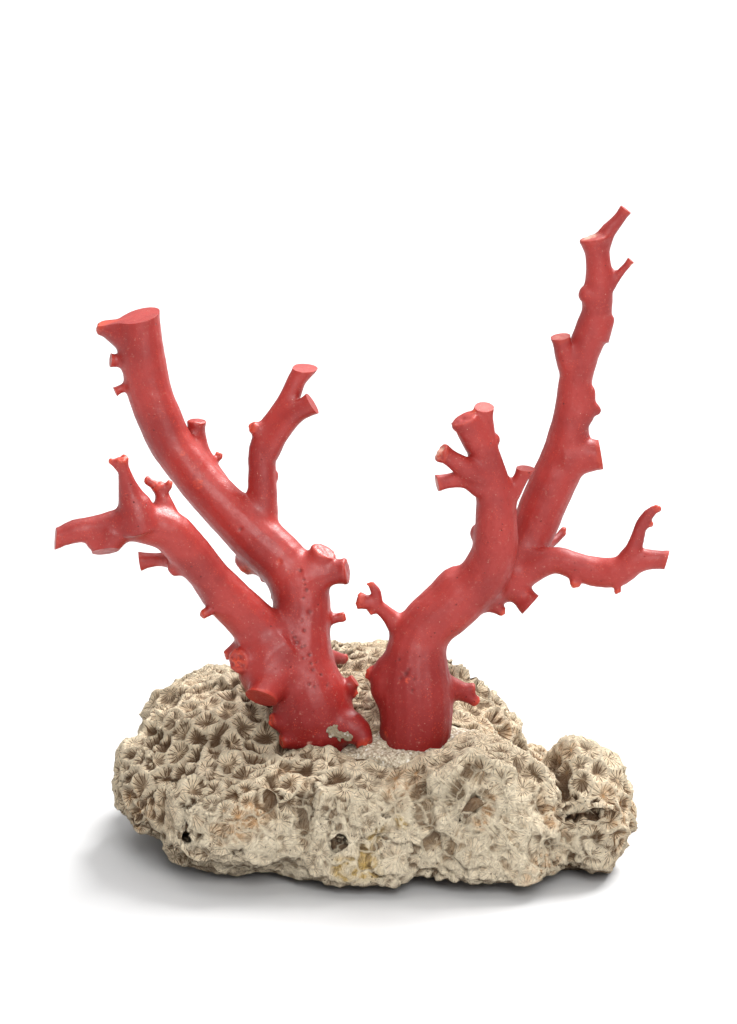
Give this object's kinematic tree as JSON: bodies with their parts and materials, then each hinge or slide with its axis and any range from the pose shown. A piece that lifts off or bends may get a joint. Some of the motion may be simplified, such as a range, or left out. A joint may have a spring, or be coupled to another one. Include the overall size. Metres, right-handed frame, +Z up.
{
  "type": "red coral",
  "caption": "Polished red coral branches with cut-back stubs, set in grey cement on a flat-bottomed block of stony coral.",
  "frame": {"origin": "centre of the flat underside of the stone block", "axes": "+Z up, +X to the right of the front view, -Y towards the front, where the red corals stand"},
  "size_m": [0.2217, 0.1395, 0.2378],
  "materials": {
    "red_coral": "waxy polish",
    "stony_coral": "rough and pitted",
    "cement": "granular"
  },
  "bodies": {
    "root": {"stone_block": "stony_coral", "cement_bed": "cement", "cement_patch": "cement", "left_trunk": "red_coral", "left_tall_branch": "red_coral", "left_slim_branch": "red_coral", "left_low_branch": "red_coral", "right_trunk": "red_coral", "right_short_branch": "red_coral", "right_tall_branch": "red_coral", "right_side_branch": "red_coral"}
  },
  "joints": []
}
